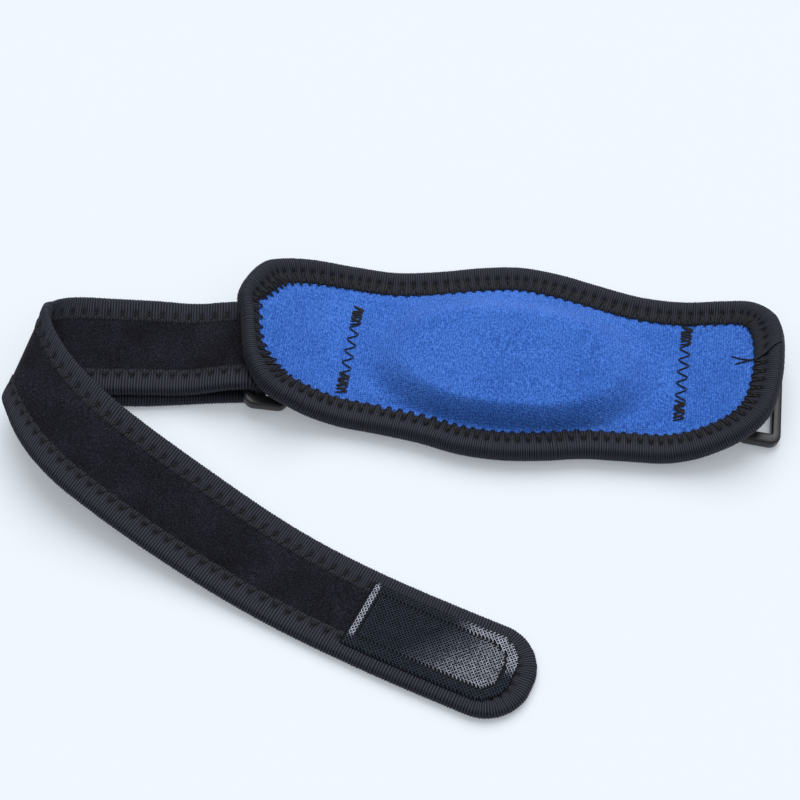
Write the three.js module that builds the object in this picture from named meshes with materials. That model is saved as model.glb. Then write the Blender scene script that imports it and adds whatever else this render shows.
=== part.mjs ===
// Tennis elbow strap lying open: padded oval, two plastic rings and one strap folded back over itself.
// Millimetres. X runs along the pad, Y away from the viewer, Z up from the surface it lies on.
import * as THREE from "three";

const CLEAR = 0.3;

// Pad: two cloth layers with a foam insert between them and a tape folded round the rim.
const PAD = { layer: 1.8, overTable: 1.8, spineShare: 0.62, samples: 60 };
const PAD_TAPE = { wall: 0.9, gap: 0.45, cover: 10, clothTuck: 2.2 };
const PAD_ENDS = { liftFrom: 54, hinge: 18, leftSlope: 0.41, rightSlope: 0.32 };
const DOME = {
  halfLength: 57,
  halfWidth: 30.8,
  height: 10,
  farShoulder: 0.42,
  nearShoulder: 0.27,
  crown: 0.18,
};
const INSERT = { rim: 0.83, slack: 1.8, samples: 40 };

// Edge of the pad seen from above: where its far and near sides run, and its two end points.
const PAD_LEFT_END = { x: -101.2, y: 12 };
const PAD_RIGHT_END = { x: 99.6, y: 8 };
const PAD_EDGE = [
  { x: -99.5, far: 20.5, near: 3 },
  { x: -95.5, far: 27.3, near: -18.5 },
  { x: -88, far: 31, near: -28.4 },
  { x: -76, far: 33.5, near: -32.4 },
  { x: -62, far: 34.8, near: -34.3 },
  { x: -46, far: 35, near: -35.8 },
  { x: -30, far: 37.5, near: -37.9 },
  { x: -15, far: 41, near: -41 },
  { x: 0, far: 43, near: -41.7 },
  { x: 15, far: 41.5, near: -40.2 },
  { x: 30, far: 38, near: -37.6 },
  { x: 46, far: 34.6, near: -36.8 },
  { x: 62, far: 33.7, near: -35.9 },
  { x: 76, far: 33.2, near: -32.4 },
  { x: 88, far: 31.6, near: -26 },
  { x: 95, far: 26.8, near: -18 },
  { x: 98.4, far: 20, near: -7 },
];

// Plastic rings and the webbing loops that hold them, measured outwards from each seam.
const RING = { wide: 48, long: 17, bar: 3.7, thick: 4, corner: 2.8, bevel: 0.9, overTable: 0.2 };
const TAB = { wide: 37, thick: 1.2, seamIn: 5, seamOut: 6, turnRadius: 3.5, innerBar: 24.4 };
const TAB_RISE = { leave: 9, arrive: 5 };
const LEFT_SEAM = { x: -59, y: -3.5, headingDeg: 186 };
const RIGHT_SEAM = { x: 61.5, y: 0.6, headingDeg: 0 };

// Strap: flat band, tape on both edges, sewn end folded back under it at the left ring.
const STRAP = { wide: 38, tipWide: 35.6, thick: 2, length: 315, tipCorner: 16.5, ringGap: 0.55 };
const STRAP_TAPE = { wall: 0.7, cover: 8.3, clothTuck: 0.9 };
const TAPER = { from: 150, upTo: 60 };
const SEWN_END = { foldedBack: 52, ease: 12, easeOut: 28, flatFrom: 44, askew: 2.2 };
const HOOK = { long: 58.9, wide: 26.4, thick: 1, fromTip: 7, corner: 11.5, rows: 8 };

// Soft fold of the strap, row by row along it: how far out and up its middle line lies, how askew that line
// crosses the fold's axis, how askew a straight cut across the strap lies to the axis, and how much the
// far edge is lifted for each millimetre across.
const FOLD_AXIS_DEG = 12;
const FOLD_LINE = [
  { out: -12, up: 8.8, driftDeg: 18, layDeg: 18, lift: 0.13 },
  { out: 0, up: 8.8, driftDeg: 18, layDeg: 18, lift: 0.13 },
  { out: 10, up: 9.1, driftDeg: 18.5, layDeg: 18, lift: 0.15 },
  { out: 18.5, up: 9.6, driftDeg: 21, layDeg: 15, lift: 0.17 },
  { out: 26, up: 10.4, driftDeg: 27, layDeg: 9, lift: 0.19 },
  { out: 31, up: 11.8, driftDeg: 41, layDeg: 5, lift: 0.19 },
  { out: 33.2, up: 14, driftDeg: 56, layDeg: 3, lift: 0.16 },
  { out: 31.9, up: 16.3, driftDeg: 58, layDeg: 3, lift: 0.12 },
  { out: 27.5, up: 17.5, driftDeg: 48, layDeg: 3, lift: 0.1 },
  { out: 19, up: 17.6, driftDeg: 38, layDeg: 5, lift: 0.09 },
  { out: 7, up: 16.6, driftDeg: 27.5, layDeg: 8, lift: 0.09 },
  { out: -8, up: 14.2, driftDeg: 18, layDeg: 12, lift: 0.08 },
  { out: -26, up: 10.8, driftDeg: 15.5, layDeg: 14.5, lift: 0.07 },
  { out: -44, up: 7.5, driftDeg: 14.5, layDeg: 14.5, lift: 0.05 },
  { out: -62, up: 4.7, driftDeg: 14, layDeg: 14, lift: 0.02 },
  { out: -80, up: 2.8, driftDeg: 12.5, layDeg: 12.5, lift: 0 },
  { out: -98, up: 2.1, driftDeg: 10.5, layDeg: 10.5, lift: 0 },
  { out: -116, up: 2, driftDeg: 8.5, layDeg: 8.5, lift: 0 },
  { out: -140, up: 2, driftDeg: 6.5, layDeg: 6.5, lift: 0 },
  { out: -166, up: 2, driftDeg: 5.5, layDeg: 5.5, lift: 0 },
  { out: -210, up: 2, driftDeg: 5, layDeg: 5, lift: 0 },
];

// How finely the round stretches are cut: shares of a width or length, and angles of a bend.
const PAD_LOOPS = [0.1, 0.32, 0.5, 0.66, 0.8, 0.91, 1];
const INSERT_BOTTOM_LOOPS = [0.2, 0.6, INSERT.rim];
const INSERT_TOP_LOOPS = [INSERT.rim, 0.77, 0.68, 0.56, 0.4, 0.2];
const TAB_STOPS = [0, 0.17, 0.23, 0.28, 0.33, 0.38, 0.43, 0.46, 0.49, 0.52, 0.55, 0.58, 0.61, 0.64, 1];
const TAPE_BEND_DEG = [90, 38, -38, -90];
const TAPE_ROUNDNESS = 0.8;
const CLOTH_TIP_DEG = [20, 40, 58, 74, 90];
const TAPE_TIP_DEG = [22, 45, 67, 90];
const HOOK_TIP_DEG = [0, 25, 50, 75];
const FOLD_STEPS = 40;

const FINISH = {
  blueCloth: { color: 0x2f62d0, roughness: 0.9 },
  blackCloth: { color: 0x1b1c20, roughness: 0.9 },
  foam: { color: 0x3a3c42, roughness: 0.9 },
  tape: { color: 0x24252a, roughness: 0.85 },
  webbing: { color: 0x202126, roughness: 0.85 },
  plastic: { color: 0x3b3d44, roughness: 0.4 },
  hook: { color: 0x33363f, roughness: 0.5 },
};

const radians = THREE.MathUtils.degToRad;
const smooth = THREE.MathUtils.smoothstep;
const lerp = THREE.MathUtils.lerp;

// Closed solid through rows of points; each row lists one side and then the other side backwards.
function skin(rows, ringed) {
  const across = rows[0].length;
  const points = rows.flat();
  const faces = [];
  const at = (row, col) => (row % rows.length) * across + (col % across);
  const bands = ringed ? rows.length : rows.length - 1;
  for (let row = 0; row < bands; row++) {
    for (let col = 0; col < across; col++) {
      faces.push([at(row, col), at(row, col + 1), at(row + 1, col + 1)]);
      faces.push([at(row, col), at(row + 1, col + 1), at(row + 1, col)]);
    }
  }
  if (!ringed) {
    for (let col = 0; col < across / 2 - 1; col++) {
      const [a, b, c, d] = [col, col + 1, across - 2 - col, across - 1 - col];
      const end = rows.length - 1;
      faces.push([at(0, c), at(0, b), at(0, a)], [at(0, d), at(0, c), at(0, a)]);
      faces.push([at(end, a), at(end, b), at(end, c)], [at(end, a), at(end, c), at(end, d)]);
    }
  }
  const turn = new THREE.Vector3();
  const corner = ([a, b, c]) => points[a].dot(turn.crossVectors(points[b], points[c]));
  const volume = faces.reduce((sum, face) => sum + corner(face), 0);
  const outward = volume > 0 ? faces : faces.map(([a, b, c]) => [a, c, b]);
  const geometry = new THREE.BufferGeometry().setFromPoints(points);
  geometry.setIndex(outward.flat());
  geometry.computeVertexNormals();
  return geometry;
}

// Cross-section of a tape folded round an edge: inward distance and height, outside then inside.
function tapeSection(cover, half, wall) {
  const wrap = (tall, start) => {
    const bend = TAPE_BEND_DEG.map((deg) => ({
      inward: start + tall * TAPE_ROUNDNESS * (1 - Math.cos(radians(deg))),
      height: tall * Math.sin(radians(deg)),
    }));
    return [{ inward: cover, height: tall }, ...bend, { inward: cover, height: -tall }];
  };
  return [...wrap(half, 0), ...wrap(half - wall, wall).reverse()];
}

// Pad surfaces: a flat middle whose two ends lift off the table.
const padHalf = PAD.layer + CLEAR / 2 + PAD_TAPE.gap + PAD_TAPE.wall;

function padPoint(x, y, height) {
  const past = Math.max(0, Math.abs(x) - PAD_ENDS.liftFrom);
  const slope = (x < 0 ? PAD_ENDS.leftSlope : PAD_ENDS.rightSlope) * Math.min(1, past / PAD_ENDS.hinge);
  const rise = past < PAD_ENDS.hinge ? (slope * past) / 2 : slope * (past - PAD_ENDS.hinge / 2);
  const tilt = Math.atan(slope) * Math.sign(x);
  const level = PAD.overTable + padHalf + rise;
  return new THREE.Vector3(x - height * Math.sin(tilt), y, level + height * Math.cos(tilt));
}

function domeHeight(x, y) {
  const reach = Math.min(1, Math.hypot(x / DOME.halfLength, y / DOME.halfWidth));
  const farShare = reach > 0 ? 0.5 + (0.5 * y) / (DOME.halfWidth * reach) : 0.5;
  const shoulder = lerp(DOME.nearShoulder, DOME.farShoulder, farShare);
  const side = (1 - DOME.crown) * smooth(1 - reach, 0, shoulder);
  return DOME.height * (side + DOME.crown * (1 - reach * reach));
}

function padOutline() {
  const farSide = PAD_EDGE.map(({ x, far }) => new THREE.Vector3(x, far, 0));
  const nearSide = PAD_EDGE.map(({ x, near }) => new THREE.Vector3(x, near, 0)).reverse();
  const left = new THREE.Vector3(PAD_LEFT_END.x, PAD_LEFT_END.y, 0);
  const right = new THREE.Vector3(PAD_RIGHT_END.x, PAD_RIGHT_END.y, 0);
  const curve = new THREE.CatmullRomCurve3([left, ...farSide, right, ...nearSide], true, "centripetal");
  return Array.from({ length: PAD.samples }, (_, step) => {
    const share = (step + 0.5) / PAD.samples;
    const way = curve.getTangentAt(share);
    return { spot: curve.getPointAt(share), inward: new THREE.Vector3(way.y, -way.x, 0) };
  });
}

const outline = padOutline();
const padInset = PAD_TAPE.wall + CLEAR + PAD_TAPE.clothTuck;

function padLoop(share, heightAt) {
  return outline.map(({ spot, inward }) => {
    const edge = spot.clone().addScaledVector(inward, padInset);
    const spine = new THREE.Vector3(edge.x * PAD.spineShare, 0, 0);
    const point = spine.lerp(edge, share);
    return padPoint(point.x, point.y, heightAt(point.x, point.y));
  });
}

function padLayer(under, thick) {
  const over = (x, y) => under(x, y) + thick;
  const lower = PAD_LOOPS.map((share) => padLoop(share, under));
  const upper = PAD_LOOPS.map((share) => padLoop(share, over)).reverse();
  return skin([...lower, ...upper], false);
}

function padFace() {
  return padLayer((x, y) => CLEAR / 2 + domeHeight(x, y), PAD.layer);
}

function padBack() {
  return padLayer(() => -CLEAR / 2, -PAD.layer);
}

function pressureInsert() {
  const loop = (share, heightAt) =>
    Array.from({ length: INSERT.samples }, (_, step) => {
      const angle = Math.PI - ((step + 0.5) / INSERT.samples) * 2 * Math.PI;
      const x = DOME.halfLength * share * Math.cos(angle);
      const y = DOME.halfWidth * share * Math.sin(angle);
      return padPoint(x, y, heightAt(x, y));
    });
  const underside = () => CLEAR / 2;
  const topside = (x, y) => domeHeight(x, y) - INSERT.slack;
  const bottom = INSERT_BOTTOM_LOOPS.map((share) => loop(share, underside));
  const top = INSERT_TOP_LOOPS.map((share) => loop(share, topside));
  return skin([...bottom, ...top], false);
}

function padBinding() {
  const section = tapeSection(PAD_TAPE.cover, padHalf, PAD_TAPE.wall);
  const rows = outline.map(({ spot, inward }) =>
    section.map(({ inward: reach, height }) => {
      const point = spot.clone().addScaledVector(inward, reach);
      return padPoint(point.x, point.y, height);
    }),
  );
  return skin(rows, true);
}

// Rings and tabs, each drawn outwards from its seam along +X and then turned to its heading.
const innerBarUp = TAB.turnRadius + TAB.thick / 2;
const barSpacing = RING.long - RING.bar;
const strapHalf = STRAP.thick / 2 + CLEAR + STRAP_TAPE.wall;
const leftOuterBarUp = 2 * strapHalf + STRAP.ringGap + RING.thick / 2;
const rightOuterBarUp = RING.overTable + RING.thick / 2;

function roundedFrame(shape, long, wide, corner) {
  const [x, y] = [long / 2, wide / 2];
  shape.moveTo(-x + corner, -y);
  shape.lineTo(x - corner, -y);
  shape.absarc(x - corner, -y + corner, corner, -Math.PI / 2, 0, false);
  shape.lineTo(x, y - corner);
  shape.absarc(x - corner, y - corner, corner, 0, Math.PI / 2, false);
  shape.lineTo(-x + corner, y);
  shape.absarc(-x + corner, y - corner, corner, Math.PI / 2, Math.PI, false);
  shape.lineTo(-x, -y + corner);
  shape.absarc(-x + corner, -y + corner, corner, Math.PI, 1.5 * Math.PI, false);
  return shape;
}

function ringGeometry() {
  const [slotLong, slotWide] = [RING.long - 2 * RING.bar, RING.wide - 2 * RING.bar];
  const shape = roundedFrame(new THREE.Shape(), RING.long, RING.wide, RING.corner);
  shape.holes.push(roundedFrame(new THREE.Path(), slotLong, slotWide, RING.corner / 3));
  const geometry = new THREE.ExtrudeGeometry(shape, {
    depth: RING.thick - 2 * RING.bevel,
    bevelThickness: RING.bevel,
    bevelSize: RING.bevel,
    bevelOffset: -RING.bevel,
    bevelSegments: 2,
    curveSegments: 3,
  });
  return geometry.translate(0, 0, RING.bevel - RING.thick / 2);
}

function placeRing(mesh, outerUp) {
  const tilt = Math.asin((outerUp - innerBarUp) / barSpacing);
  const middle = TAB.innerBar + (barSpacing / 2) * Math.cos(tilt);
  mesh.position.set(middle, 0, (innerBarUp + outerUp) / 2);
  mesh.rotation.y = -tilt;
  return mesh;
}

function tabGeometry() {
  const lower = TAB.thick / 2;
  const upper = lower + TAB.thick + CLEAR / 2;
  const top = innerBarUp + TAB.turnRadius;
  const path = new THREE.Path();
  path.moveTo(-TAB.seamIn, upper);
  path.lineTo(TAB.seamOut, upper);
  const [leaveAt, arriveAt] = [TAB.seamOut + TAB_RISE.leave, TAB.innerBar - TAB_RISE.arrive];
  path.bezierCurveTo(leaveAt, upper, arriveAt, top, TAB.innerBar, top);
  path.absarc(TAB.innerBar, innerBarUp, TAB.turnRadius, Math.PI / 2, -Math.PI / 2, true);
  path.lineTo(-TAB.seamIn, lower);
  const rows = TAB_STOPS.map((share) => {
    const spot = path.getPointAt(share);
    const way = path.getTangentAt(share);
    const corner = (side, face) =>
      new THREE.Vector3(
        spot.x - (face * way.y * TAB.thick) / 2,
        (side * TAB.wide) / 2,
        spot.y + (face * way.x * TAB.thick) / 2,
      );
    return [corner(-1, 1), corner(1, 1), corner(1, -1), corner(-1, -1)];
  });
  return skin(rows, false);
}

// Way of the strap from its sewn end round the ring's outer bar, out and up in the ring's own plane.
const upperLayer = leftOuterBarUp + RING.thick / 2 + STRAP.ringGap + strapHalf;
const turnRadius = (upperLayer - strapHalf) / 2;
const sewnLayer = 3 * strapHalf + CLEAR;
const ringTurn = new THREE.Path();
ringTurn.moveTo(SEWN_END.foldedBack, strapHalf);
ringTurn.lineTo(0, strapHalf);
ringTurn.absarc(0, leftOuterBarUp, turnRadius, -Math.PI / 2, Math.PI / 2, true);
ringTurn.bezierCurveTo(
  SEWN_END.ease,
  upperLayer,
  SEWN_END.easeOut - SEWN_END.ease,
  sewnLayer,
  SEWN_END.easeOut,
  sewnLayer,
);
ringTurn.lineTo(SEWN_END.flatFrom, sewnLayer);

const foldPoints = FOLD_LINE.map(({ out, up }) => new THREE.Vector3(out, up, 0));
const softFold = new THREE.CatmullRomCurve3(foldPoints, false, "centripetal");
softFold.arcLengthDivisions = FOLD_STEPS * (FOLD_LINE.length - 1);

// Length of strap used and its sideways drift over the fold, added up from the drift of each row.
const foldTable = softFold.getLengths().map((distance, step, distances) => {
  const row = Math.min(Math.floor(step / FOLD_STEPS), FOLD_LINE.length - 2);
  const share = step / FOLD_STEPS - row;
  const blend = (key) => lerp(FOLD_LINE[row][key], FOLD_LINE[row + 1][key], share);
  const span = distance - (distances[step - 1] ?? 0);
  const [turn, lay] = [radians(blend("driftDeg")), radians(blend("layDeg"))];
  return { distance, span, turn, lay, lift: blend("lift") };
});
foldTable.forEach((entry, step) => {
  const before = foldTable[step - 1] ?? { drift: 0, along: 0 };
  entry.drift = before.drift - entry.span * Math.tan(entry.turn);
  entry.along = before.along + entry.span / Math.cos(entry.turn);
});

// All the values of the fold where one of them, distance or along, has a given value.
function foldEntry(known, value) {
  const found = foldTable.findIndex((entry) => entry[known] >= value);
  const next = found < 0 ? foldTable.length - 1 : Math.max(1, found);
  const [from, to] = [foldTable[next - 1], foldTable[next]];
  const share = (value - from[known]) / (to[known] - from[known]);
  const blend = (key) => lerp(from[key], to[key], share);
  return {
    distance: blend("distance"),
    along: blend("along"),
    lay: blend("lay"),
    lift: blend("lift"),
    drift: blend("drift"),
  };
}

const ringTurnLength = ringTurn.getLength();
const softFoldLength = softFold.getLength();
const foldStart = foldEntry("distance", -FOLD_LINE[0].out);
const heading = (deg) => new THREE.Vector3(Math.cos(radians(deg)), Math.sin(radians(deg)), 0);
const farWay = heading(LEFT_SEAM.headingDeg);
const farAcross = heading(LEFT_SEAM.headingDeg - 90);
const foldOut = heading(180 - FOLD_AXIS_DEG);
const foldAcross = heading(90 - FOLD_AXIS_DEG);
const outerBar = new THREE.Vector3(LEFT_SEAM.x, LEFT_SEAM.y, 0).addScaledVector(
  farWay,
  TAB.innerBar + Math.sqrt(barSpacing ** 2 - (leftOuterBarUp - innerBarUp) ** 2),
);
const foldOrigin = outerBar.clone().addScaledVector(farWay, SEWN_END.flatFrom);

function onLine(line, distance, length) {
  const share = THREE.MathUtils.clamp(distance / length, 0, 1);
  return { spot: line.getPointAt(share), way: line.getTangentAt(share) };
}

// Strap surface: band coordinates (along, across, height) to the place where that bit of cloth lies.
function strapPoint(along, across, height) {
  if (along < ringTurnLength) {
    const { spot, way } = onLine(ringTurn, along, ringTurnLength);
    const point = outerBar.clone().addScaledVector(farWay, spot.x - height * way.y);
    const outShare = smooth(spot.x, 0, SEWN_END.flatFrom);
    const isUnder = along < SEWN_END.foldedBack;
    point.addScaledVector(farAcross, across - (isUnder ? SEWN_END.askew * outShare : 0));
    const lift = FOLD_LINE[0].lift * outShare;
    point.z = spot.y + height * way.x + (across + STRAP.wide / 2) * lift;
    return point;
  }
  const { distance, lay, lift, drift } = foldEntry("along", foldStart.along + along - ringTurnLength);
  const { spot, way } = onLine(softFold, distance + across * Math.sin(lay), softFoldLength);
  const point = foldOrigin.clone().addScaledVector(foldOut, spot.x - height * way.y);
  point.addScaledVector(foldAcross, drift - foldStart.drift + across * Math.cos(lay));
  point.z = spot.y + height * way.x + across * lift;
  return point;
}

// Rows along the strap, close together where it bends.
const strapEnd = ringTurnLength + STRAP.length - SEWN_END.flatFrom;
const STRETCHES = [
  { part: "sewn end", upTo: SEWN_END.foldedBack, rows: 5 },
  { part: "turn round the bar", upTo: SEWN_END.foldedBack + Math.PI * turnRadius, rows: 8 },
  { part: "way down to the table", upTo: ringTurnLength - 2, rows: 5 },
  { part: "far run", upTo: ringTurnLength + 24, rows: 5 },
  { part: "soft fold", upTo: ringTurnLength + 84, rows: 18 },
  { part: "slope of the near run", upTo: ringTurnLength + 210, rows: 11 },
  { part: "flat of the near run", upTo: strapEnd - STRAP.tipCorner, rows: 4 },
];

function strapHalfWidth(along) {
  const share = smooth(along, strapEnd - TAPER.from, strapEnd - TAPER.upTo);
  return lerp(STRAP.wide, STRAP.tipWide, share) / 2;
}

function strapStops() {
  const stops = [0];
  for (const { upTo, rows } of STRETCHES) {
    const from = stops.at(-1);
    for (let step = 1; step <= rows; step++) {
      stops.push(from + ((upTo - from) * step) / rows);
    }
  }
  return stops;
}

function strapBody() {
  const inset = STRAP_TAPE.wall + CLEAR + STRAP_TAPE.clothTuck;
  const corner = STRAP.tipCorner - inset;
  const tip = CLOTH_TIP_DEG.map((deg) => ({
    along: strapEnd - STRAP.tipCorner + corner * Math.sin(radians(deg)),
    half: STRAP.tipWide / 2 - inset - corner * (1 - Math.cos(radians(deg))),
  }));
  const straight = strapStops().map((along) => ({ along, half: strapHalfWidth(along) - inset }));
  const rows = [...straight, ...tip].map(({ along, half }) => {
    const tapeEdge = half * (1 - (STRAP_TAPE.cover - inset) / (STRAP.wide / 2 - inset));
    const places = [-half, -tapeEdge, 0, tapeEdge, half];
    const upper = places.map((across) => strapPoint(along, across, STRAP.thick / 2));
    const lower = places.map((across) => strapPoint(along, across, -STRAP.thick / 2)).reverse();
    return [...upper, ...lower];
  });
  return skin(rows, false);
}

function strapBinding() {
  const corner = STRAP.tipCorner;
  const tipSide = STRAP.tipWide / 2 - corner;
  const straight = (side) =>
    strapStops().map((along) => ({
      along,
      across: side * strapHalfWidth(along),
      inAlong: 0,
      inAcross: -side,
    }));
  const bend = (side) =>
    TAPE_TIP_DEG.map((deg) => ({
      along: strapEnd - corner + corner * Math.sin(radians(deg)),
      across: side * (tipSide + corner * Math.cos(radians(deg))),
      inAlong: -Math.sin(radians(deg)),
      inAcross: -side * Math.cos(radians(deg)),
    }));
  const edge = [...straight(-1), ...bend(-1), ...bend(1).reverse(), ...straight(1).reverse()];
  const section = tapeSection(STRAP_TAPE.cover, strapHalf, STRAP_TAPE.wall);
  const rows = edge.map(({ along, across, inAlong, inAcross }) =>
    section.map(({ inward, height }) =>
      strapPoint(along + inward * inAlong, across + inward * inAcross, height),
    ),
  );
  return skin(rows, false);
}

function hookTab() {
  const end = strapEnd - HOOK.fromTip;
  const start = end - HOOK.long;
  const half = HOOK.wide / 2;
  const straight = HOOK.long - HOOK.corner;
  const side = [];
  for (let step = 0; step < HOOK.rows; step++) {
    side.push({ along: start + (straight * step) / HOOK.rows, across: half });
  }
  for (const deg of HOOK_TIP_DEG) {
    side.push({
      along: end - HOOK.corner + HOOK.corner * Math.sin(radians(deg)),
      across: half - HOOK.corner * (1 - Math.cos(radians(deg))),
    });
  }
  const other = side.map(({ along, across }) => ({ along, across: -across })).reverse();
  const lift = strapHalf + CLEAR;
  const loop = (height) => [...side, ...other].map(({ along, across }) => strapPoint(along, across, -height));
  return skin([loop(lift), loop(lift + HOOK.thick)], false);
}

function piece(name, geometry, finish) {
  const mesh = new THREE.Mesh(geometry, new THREE.MeshStandardMaterial(finish));
  mesh.name = name;
  return mesh;
}

function ringEnd(side, seam, outerBarUp) {
  const end = new THREE.Group();
  end.position.set(seam.x, seam.y, 0);
  end.rotation.z = radians(seam.headingDeg);
  end.add(piece(`tab_${side}`, tabGeometry(), FINISH.webbing));
  end.add(placeRing(piece(`ring_${side}`, ringGeometry(), FINISH.plastic), outerBarUp));
  return end;
}

const body = new THREE.Group();
body.add(piece("pad_face", padFace(), FINISH.blueCloth));
body.add(piece("pad_back", padBack(), FINISH.blackCloth));
body.add(piece("pressure_insert", pressureInsert(), FINISH.foam));
body.add(piece("pad_binding", padBinding(), FINISH.tape));
body.add(ringEnd("left", LEFT_SEAM, leftOuterBarUp));
body.add(ringEnd("right", RIGHT_SEAM, rightOuterBarUp));
body.add(piece("strap", strapBody(), FINISH.blackCloth));
body.add(piece("strap_binding", strapBinding(), FINISH.tape));
body.add(piece("hook_tab", hookTab(), FINISH.hook));

// The frame's origin is the middle of the underside of the whole.
body.updateMatrixWorld(true);
const box = new THREE.Box3().setFromObject(body, true);
body.position.set(-(box.min.x + box.max.x) / 2, -(box.min.y + box.max.y) / 2, -box.min.z);

const group = new THREE.Group();
group.name = "tennis_elbow_strap";
group.add(body);

export default group;
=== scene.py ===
# Looks of a tennis elbow strap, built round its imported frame.
# Shapes are worked out in millimetres from the pad's middle and become metres when a mesh is made.
import math
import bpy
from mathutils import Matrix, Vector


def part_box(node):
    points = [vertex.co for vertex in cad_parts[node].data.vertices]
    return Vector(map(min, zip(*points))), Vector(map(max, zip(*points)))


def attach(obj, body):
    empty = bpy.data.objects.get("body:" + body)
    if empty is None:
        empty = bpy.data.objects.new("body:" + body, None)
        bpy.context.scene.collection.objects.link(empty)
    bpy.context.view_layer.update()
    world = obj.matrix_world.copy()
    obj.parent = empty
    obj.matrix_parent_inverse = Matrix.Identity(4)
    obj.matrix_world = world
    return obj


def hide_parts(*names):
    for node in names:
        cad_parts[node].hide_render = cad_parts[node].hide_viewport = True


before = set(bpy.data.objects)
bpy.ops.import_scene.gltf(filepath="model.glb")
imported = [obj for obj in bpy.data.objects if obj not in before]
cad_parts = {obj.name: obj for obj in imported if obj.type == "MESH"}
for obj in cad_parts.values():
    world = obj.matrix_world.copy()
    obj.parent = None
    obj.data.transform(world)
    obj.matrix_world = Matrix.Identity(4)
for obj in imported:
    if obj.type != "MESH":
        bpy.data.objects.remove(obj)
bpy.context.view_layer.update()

from types import SimpleNamespace as Sizes

import bpy
import numpy as np
from mathutils import Vector

scene = bpy.context.scene
MM = 0.001
CLEAR = 0.3

# Pad: cloth layers, the tape round their rim and the dome over the insert.
PAD = Sizes(layer=1.8, over_table=1.8, spine_share=0.62, inset=3.4)
PAD_ROWS = Sizes(around=640, upper=72, lower=14, spine_gap=0.008)
PAD_ENDS = Sizes(lift_from=54, hinge=18, left_slope=0.41, right_slope=0.32)
DOME = Sizes(
    half_length=57, half_width=30.8, height=10, far_shoulder=0.52, near_shoulder=0.22, crown=0.18,
    squareness=2.3,
)
DOME_FOOT = Sizes(height=0.9, rise=(0.75, 1), fall=(0.95, 1.3), beside_tape=4)
PAD_TAPE = Sizes(half=3.3, cover=10, wall=0.5, roll=2.7, rib=0.86, rib_height=0.22, steps=3)
PAD_TAPE_TOP = [
    # inward from the rim, height over the pad's middle layer
    (10, 1.7), (9.8, 2.1), (9.3, 2.4), (8.5, 2.55), (7.4, 2.6), (6.6, 2.56), (6, 2.55),
    (5.3, 2.75), (4.4, 3.05), (3.5, 3.24), (2.7, 3.3),
]
PAD_TAPE_REACH = Sizes(
    left_share=0.38, left=-97, right=-82, left_near=-30, left_nearest=-6, left_far=-4, left_farthest=19,
    far_share=1.12, middle=5, far=25, teeth=0.28, teeth_from=-92, teeth_to=-66,
)
PAD_STITCH = Sizes(pitch=4.0, outer=6, beyond=1.7, thread=0.26)
PAD_JOIN = Sizes(at=235, overlap=16, ease=5, height=0.75, slant=9, slant_over=14)

# Edge of the pad seen from above: where its far and near sides run, and its two end points.
PAD_LEFT_END = (-102.4, 8)
PAD_RIGHT_END = (99.6, 8)
PAD_EDGE = [
    # x, far side, near side
    (-100.1, 17.6, 0),
    (-95.5, 25.2, -18.5),
    (-88, 29.6, -28.4),
    (-76, 33.4, -32.4),
    (-62, 35.3, -34.3),
    (-46, 35, -35.8),
    (-30, 37.5, -37.9),
    (-15, 41, -41),
    (0, 43, -41.7),
    (15, 41.5, -40.2),
    (30, 38, -37.6),
    (46, 34.6, -36.8),
    (62, 33.7, -35.9),
    (76, 33.2, -32.4),
    (88, 31.6, -26),
    (95, 26.8, -18),
    (98.4, 20, -7),
]

# Rings and the webbing loops that hold them, measured outwards from each seam.
RING = Sizes(wide=48, long=17, bar=3.7, side=4.6, thick=4, bend=2.4, over_table=0.2, roundness=0.45)
TAB = Sizes(wide=37, thick=1.2, seam_in=5, seam_out=6, turn=3.5, inner_bar=24.4, leave=9, arrive=5)
TAB_MESH = Sizes(rows=110, columns=20)
LEFT_SEAM = Sizes(x=-59, y=-3.5, heading=186)
RIGHT_SEAM = Sizes(x=61.5, y=0.6, heading=0)

# Strap: cloth band, tape on both edges, hook patch at the tip.
STRAP = Sizes(wide=38, tip_wide=35.6, half=2.0, length=315, tip_corner=16.5, ring_gap=0.55, inset=1.9)
STRAP_TAPE = Sizes(half=2.0, cover=9.2, wall=0.35, roll=2.0, rib=1.05, rib_height=0.28, steps=3)
STRAP_TAPE_TOP = [
    # inward from the edge, height over the strap's middle layer
    (9.2, 1.15), (9, 1.5), (8.5, 1.7), (7.6, 1.75), (6.6, 1.73), (5.6, 1.78),
    (4.4, 1.88), (3.2, 1.97), (2, 2),
]
STRAP_STITCH = Sizes(pitch=5.0, outer=6.2, beyond=0.5, thread=0.18)
STRAP_CLOTH = Sizes(edge=1.15, middle=1.6, rise=(4.5, 8), start=0.4, from_tip=2.6, rows=330, columns=22)
TAPER = Sizes(start=150, end=60)
SEWN_END = Sizes(folded_back=52, ease=12, ease_out=28, flat_from=44, askew=2.2)
HOOK = Sizes(
    long=58.9, wide=26.4, from_tip=7, corner=11.5, under=1.5, top=2.3, tall=0.7, pitch=1.5, row=0.72,
)
HOOK_PLATE = Sizes(rows=60, tip_rows=14, columns=26)
HOOK_LOOP = Sizes(
    first=0.3, last=0.6, edge=0.35, seam=0.42, shortest=0.85, tallest=1.1, foot=0.25,
    dullest=0.7, brightest=1.1, points=5, thread=0.2, sides=4,
)
# Where the hooks get a painted shine, a reflection painted into their colour: the cut edge, a slanted
# field towards the tip and the far border near the tip.
HOOK_PAINTED_SHINE = Sizes(
    cut=(2.6, 3.4), cut_across=(-11, -8), field=(4, 42), slant=0.8, slant_from=-9, field_bright=0.8,
    border=(27, 43), border_across=(-3, 3), border_bright=0.95, least=0.2,
)
HOOK_SEAM = 4.2
HOOK_STITCH = Sizes(start=1, pitch=2.8, gap=0.1, raised=0.12, dive=0.4, thread=0.2)

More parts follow.
